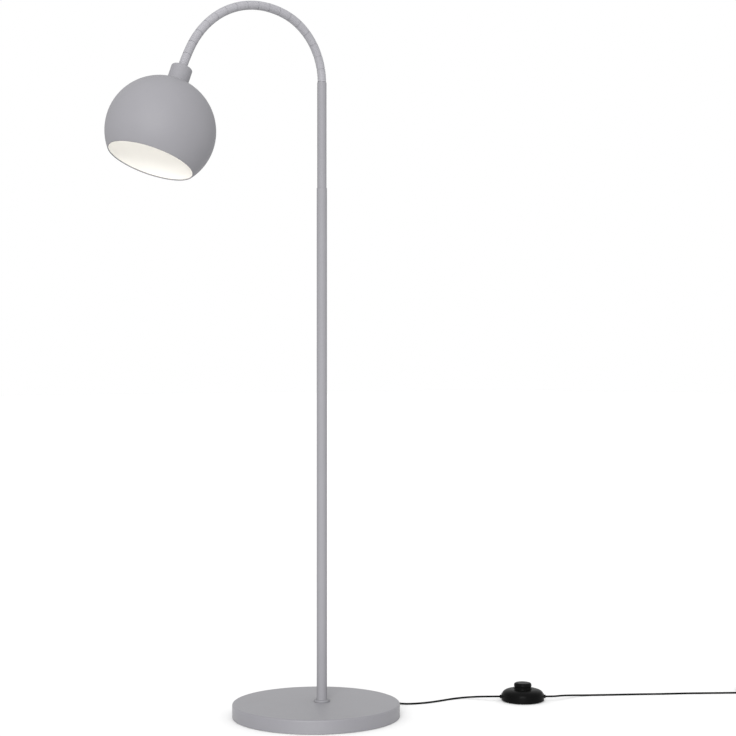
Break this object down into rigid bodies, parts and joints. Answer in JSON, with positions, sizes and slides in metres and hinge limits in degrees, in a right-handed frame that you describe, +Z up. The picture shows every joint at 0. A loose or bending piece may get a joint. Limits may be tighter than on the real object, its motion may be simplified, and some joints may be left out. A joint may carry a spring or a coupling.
{
  "type": "gooseneck reading floor lamp",
  "caption": "Floor lamp with a weighted disc base, a two-step pole and a ribbed gooseneck that carries a ball-shaped shade open below; it plugs in and has a foot switch.",
  "frame": {"origin": "on the floor under the pole's axis, in the underside of the base pad", "axes": "+Z up along the pole, -X towards the shade, +X towards the cord's exit"},
  "size_m": [1.3077, 0.5373, 1.2627],
  "materials": {
    "grey_paint": "satin grey paint",
    "painted_aluminium": "satin grey paint outside, white inside",
    "cast_concrete": "raw cast concrete",
    "plated_steel": "zinc plated",
    "rubber_pad": "matte",
    "black_plastic": "satin black",
    "black_cord": "smooth black sheath",
    "nickel": "nickel plated",
    "brass": "plain",
    "lampholder": "white phenolic",
    "bulb_cap": "plain",
    "bulb_glass": "opal"
  },
  "bodies": {
    "stand": {"base_pad": "rubber_pad", "base_plate": "plated_steel", "base_weight": "cast_concrete", "base_cover": "grey_paint", "base_screws": "plated_steel", "cord_gland": "black_plastic", "base_washer": "plated_steel", "base_nut": "plated_steel", "pole_nipple": "plated_steel", "foot_ring": "grey_paint", "pole_insert": "plated_steel", "lower_pole": "grey_paint", "upper_tube": "grey_paint", "neck_root": "plated_steel", "cord_to_switch": "black_cord", "cord_from_switch": "black_cord", "cord_coil": "black_cord", "cord_tail": "black_cord", "plug_body": "black_plastic", "plug_pins": "nickel", "plug_sleeves": "black_plastic", "plug_relief": "black_plastic", "switch_foot_ring": "rubber_pad", "switch_base": "black_plastic", "switch_cover": "black_plastic", "switch_contacts": "black_plastic", "switch_gland_in": "black_plastic", "switch_gland_out": "black_plastic"},
    "button": {"switch_button": "black_plastic"},
    "neck_01": {"neck_link_01": "grey_paint"},
    "neck_02": {"neck_link_02": "grey_paint"},
    "neck_03": {"neck_link_03": "grey_paint"},
    "neck_04": {"neck_link_04": "grey_paint"},
    "neck_05": {"neck_link_05": "grey_paint"},
    "neck_06": {"neck_link_06": "grey_paint"},
    "neck_07": {"neck_link_07": "grey_paint"},
    "neck_08": {"neck_link_08": "grey_paint"},
    "neck_09": {"neck_link_09": "grey_paint"},
    "neck_10": {"neck_link_10": "grey_paint"},
    "neck_11": {"neck_link_11": "grey_paint"},
    "neck_12": {"neck_link_12": "grey_paint"},
    "neck_13": {"neck_link_13": "grey_paint"},
    "neck_14": {"neck_link_14": "grey_paint"},
    "neck_15": {"neck_link_15": "grey_paint"},
    "neck_16": {"neck_link_16": "grey_paint"},
    "neck_17": {"neck_link_17": "grey_paint"},
    "neck_18": {"neck_link_18": "grey_paint"},
    "head": {"neck_tip": "plated_steel", "socket_cover": "painted_aluminium", "shade": "painted_aluminium", "head_washer": "plated_steel", "head_nut": "plated_steel", "lampholder_cap": "lampholder", "lampholder_body": "lampholder", "lampholder_ring": "lampholder", "lampholder_sleeve": "brass", "lampholder_contact": "brass", "bulb_cap": "bulb_cap", "bulb_glass": "bulb_glass"}
  },
  "joints": [
    {"name": "neck_bend_01", "type": "hinge", "parent": "stand", "child": "neck_01", "pos_m": [0, 0, 1.137], "axis": [0, -1, 0], "range_deg": [-8, 2.5]},
    {"name": "neck_bend_02", "type": "hinge", "parent": "neck_01", "child": "neck_02", "pos_m": [-0.00237, 0, 1.16024], "axis": [0, -1, 0], "range_deg": [-8, 2.5]},
    {"name": "neck_bend_03", "type": "hinge", "parent": "neck_02", "child": "neck_03", "pos_m": [-0.00939, 0, 1.18252], "axis": [0, -1, 0], "range_deg": [-8, 2.5]},
    {"name": "neck_bend_04", "type": "hinge", "parent": "neck_03", "child": "neck_04", "pos_m": [-0.02077, 0, 1.20292], "axis": [0, -1, 0], "range_deg": [-8, 2.5]},
    {"name": "neck_sway_1", "type": "hinge", "parent": "neck_04", "child": "neck_05", "pos_m": [-0.03603, 0, 1.2206], "axis": [0.6867, 0, 0.727], "range_deg": [-8, 8]},
    {"name": "neck_bend_05", "type": "hinge", "parent": "neck_05", "child": "neck_06", "pos_m": [-0.05456, 0, 1.23484], "axis": [0, -1, 0], "range_deg": [-8, 2.5]},
    {"name": "neck_bend_06", "type": "hinge", "parent": "neck_06", "child": "neck_07", "pos_m": [-0.07557, 0, 1.24503], "axis": [0, -1, 0], "range_deg": [-8, 2.5]},
    {"name": "neck_bend_07", "type": "hinge", "parent": "neck_07", "child": "neck_08", "pos_m": [-0.09808, 0, 1.25139], "axis": [0, -1, 0], "range_deg": [-8, 2.5]},
    {"name": "neck_sway_2", "type": "hinge", "parent": "neck_08", "child": "neck_09", "pos_m": [-0.12124, 0, 1.25458], "axis": [0.0679, 0, 0.9977], "range_deg": [-8, 8]},
    {"name": "neck_bend_08", "type": "hinge", "parent": "neck_09", "child": "neck_10", "pos_m": [-0.14462, 0, 1.25455], "axis": [0, -1, 0], "range_deg": [-8, 2.5]},
    {"name": "neck_bend_09", "type": "hinge", "parent": "neck_10", "child": "neck_11", "pos_m": [-0.16777, 0, 1.25131], "axis": [0, -1, 0], "range_deg": [-8, 2.5]},
    {"name": "neck_bend_10", "type": "hinge", "parent": "neck_11", "child": "neck_12", "pos_m": [-0.19026, 0, 1.24491], "axis": [0, -1, 0], "range_deg": [-8, 2.5]},
    {"name": "neck_sway_3", "type": "hinge", "parent": "neck_12", "child": "neck_13", "pos_m": [-0.21166, 0, 1.23548], "axis": [-0.4656, 0, 0.885], "range_deg": [-8, 8]},
    {"name": "neck_bend_11", "type": "hinge", "parent": "neck_13", "child": "neck_14", "pos_m": [-0.23155, 0, 1.22319], "axis": [0, -1, 0], "range_deg": [-8, 2.5]},
    {"name": "neck_bend_12", "type": "hinge", "parent": "neck_14", "child": "neck_15", "pos_m": [-0.24956, 0, 1.20828], "axis": [0, -1, 0], "range_deg": [-8, 2.5]},
    {"name": "neck_bend_13", "type": "hinge", "parent": "neck_15", "child": "neck_16", "pos_m": [-0.26535, 0, 1.19104], "axis": [0, -1, 0], "range_deg": [-8, 2.5]},
    {"name": "neck_sway_4", "type": "hinge", "parent": "neck_16", "child": "neck_17", "pos_m": [-0.27862, 0, 1.17179], "axis": [-0.8606, 0, 0.5092], "range_deg": [-8, 8]},
    {"name": "neck_bend_14", "type": "hinge", "parent": "neck_17", "child": "neck_18", "pos_m": [-0.28943, 0, 1.15104], "axis": [0, -1, 0], "range_deg": [-8, 2.5]},
    {"name": "neck_bend_15", "type": "hinge", "parent": "neck_18", "child": "head", "pos_m": [-0.29866, 0, 1.12954], "axis": [0, -1, 0], "range_deg": [-8, 2.5]},
    {"name": "switch_press", "type": "slide", "parent": "stand", "child": "button", "axis": [0, 0, -1], "range_m": [0, 0.003], "stiffness_N_per_m": 900, "springref_m": -0.002}
  ],
  "couplings": [
    {"joint": "neck_bend_02", "follows": "neck_bend_01", "ratio": 1},
    {"joint": "neck_bend_03", "follows": "neck_bend_01", "ratio": 1},
    {"joint": "neck_bend_04", "follows": "neck_bend_01", "ratio": 1},
    {"joint": "neck_bend_05", "follows": "neck_bend_01", "ratio": 1},
    {"joint": "neck_bend_06", "follows": "neck_bend_01", "ratio": 1},
    {"joint": "neck_bend_07", "follows": "neck_bend_01", "ratio": 1},
    {"joint": "neck_sway_2", "follows": "neck_sway_1", "ratio": 1},
    {"joint": "neck_bend_08", "follows": "neck_bend_01", "ratio": 1},
    {"joint": "neck_bend_09", "follows": "neck_bend_01", "ratio": 1},
    {"joint": "neck_bend_10", "follows": "neck_bend_01", "ratio": 1},
    {"joint": "neck_sway_3", "follows": "neck_sway_1", "ratio": 1},
    {"joint": "neck_bend_11", "follows": "neck_bend_01", "ratio": 1},
    {"joint": "neck_bend_12", "follows": "neck_bend_01", "ratio": 1},
    {"joint": "neck_bend_13", "follows": "neck_bend_01", "ratio": 1},
    {"joint": "neck_sway_4", "follows": "neck_sway_1", "ratio": 1},
    {"joint": "neck_bend_14", "follows": "neck_bend_01", "ratio": 1},
    {"joint": "neck_bend_15", "follows": "neck_bend_01", "ratio": 1}
  ]
}
